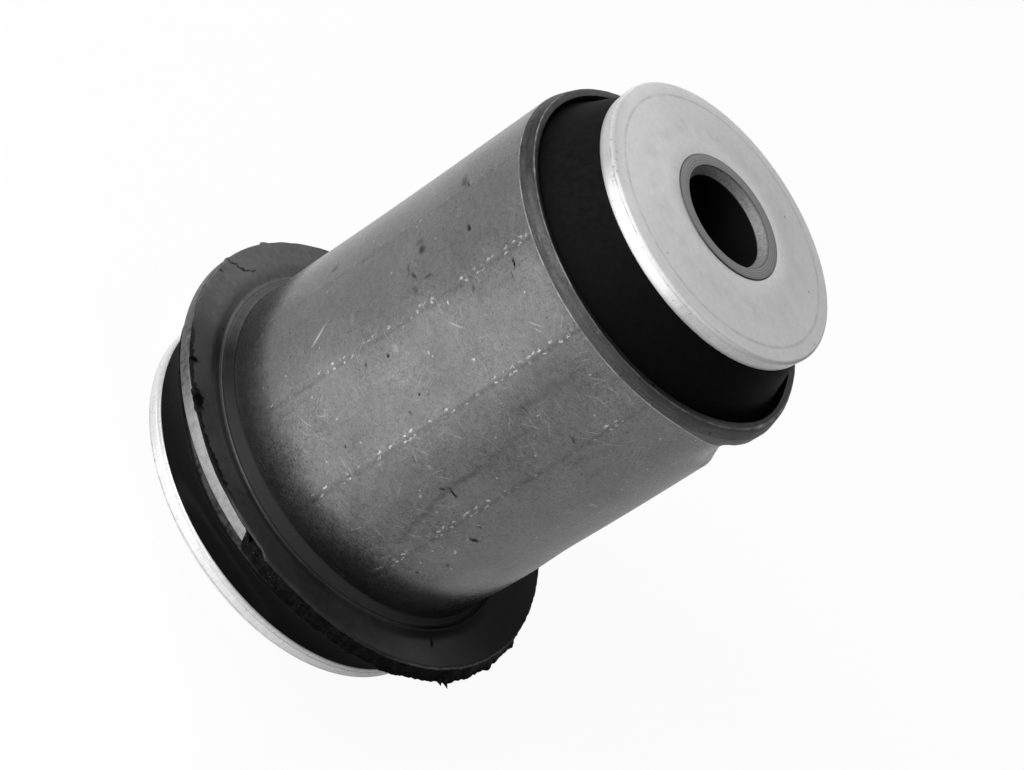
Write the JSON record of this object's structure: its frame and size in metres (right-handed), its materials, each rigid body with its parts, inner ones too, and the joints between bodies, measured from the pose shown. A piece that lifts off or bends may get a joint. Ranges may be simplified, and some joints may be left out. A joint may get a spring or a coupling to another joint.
{
  "type": "rubber metal bush",
  "caption": "Flanged suspension bush: steel outer sleeve and bored inner sleeve joined by bonded rubber, with a dished washer at each end.",
  "frame": {"origin": "on the bore axis at the lower end of the inner sleeve, where the bush stands", "axes": "+Z along the bore axis from the flanged end with the large washer to the small washer; -X lies near the middle of the flange's bare steel edge and +X on the side where rubber wraps it"},
  "size_m": [0.0814, 0.0805, 0.099],
  "materials": {
    "inner_steel": "machined end, dull grey",
    "sleeve_steel": "satin bare steel with swaging marks, scratches and stains",
    "washer_plate": "pale matte zinc plate",
    "rubber": "matte black moulded rubber"
  },
  "bodies": {
    "root": {"inner_sleeve": "inner_steel", "outer_sleeve": "sleeve_steel", "upper_washer": "washer_plate", "lower_washer": "washer_plate", "rubber_body": "rubber"}
  },
  "joints": []
}
